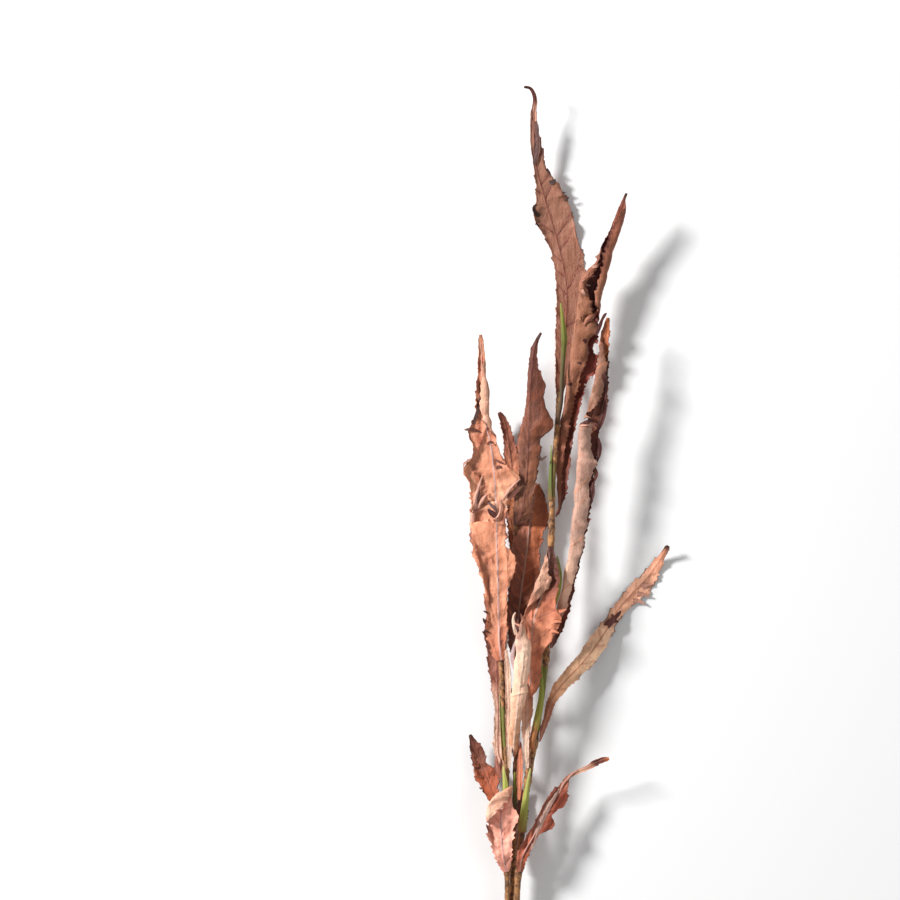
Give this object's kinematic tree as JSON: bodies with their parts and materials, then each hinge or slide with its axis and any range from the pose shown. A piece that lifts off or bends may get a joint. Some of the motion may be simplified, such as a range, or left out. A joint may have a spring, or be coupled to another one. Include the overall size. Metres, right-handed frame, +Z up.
{
  "type": "dried fern spray",
  "caption": "Long dried spray lying flat: narrow saw-toothed, curled leaves and green sheaths on taped branches bound into one cut stem.",
  "frame": {"origin": "the middle of the spray's outline, on the surface that it lies on", "axes": "+Z up from the surface; +Y along the spray, from its cut stem end to its tallest leaf tip; +X to the right of the picture"},
  "size_m": [0.2075, 0.9944, 0.0589],
  "materials": {
    "stem_tape": "matte",
    "leaf_rosy_brown": "matte",
    "leaf_red_brown": "matte",
    "leaf_dark_brown": "matte",
    "leaf_salmon": "matte",
    "leaf_pale": "matte",
    "sheath_green": "matte"
  },
  "bodies": {
    "root": {"main_stem": "stem_tape", "branch_left": "stem_tape", "branch_middle": "stem_tape", "branch_right": "stem_tape", "leaf_tall_flat": "leaf_rosy_brown", "leaf_left_back": "leaf_rosy_brown", "leaf_tall_rolled": "leaf_red_brown", "leaf_base_right": "leaf_red_brown", "leaf_base_left": "leaf_red_brown", "leaf_centre_dark": "leaf_dark_brown", "leaf_centre_back": "leaf_dark_brown", "leaf_centre_curled": "leaf_dark_brown", "leaf_base_back": "leaf_dark_brown", "leaf_left_broad": "leaf_salmon", "leaf_centre_toothed": "leaf_salmon", "leaf_base_front": "leaf_salmon", "leaf_right_rolled": "leaf_pale", "leaf_front_rolled": "leaf_pale", "leaf_front_strip": "leaf_pale", "leaf_right_low": "leaf_pale", "sheath_tall": "sheath_green", "sheath_upper": "sheath_green", "sheath_mid_right": "sheath_green", "sheath_left": "sheath_green", "sheath_right": "sheath_green", "sheath_base_left": "sheath_green", "sheath_base_middle": "sheath_green", "sheath_base_right": "sheath_green"}
  },
  "joints": []
}
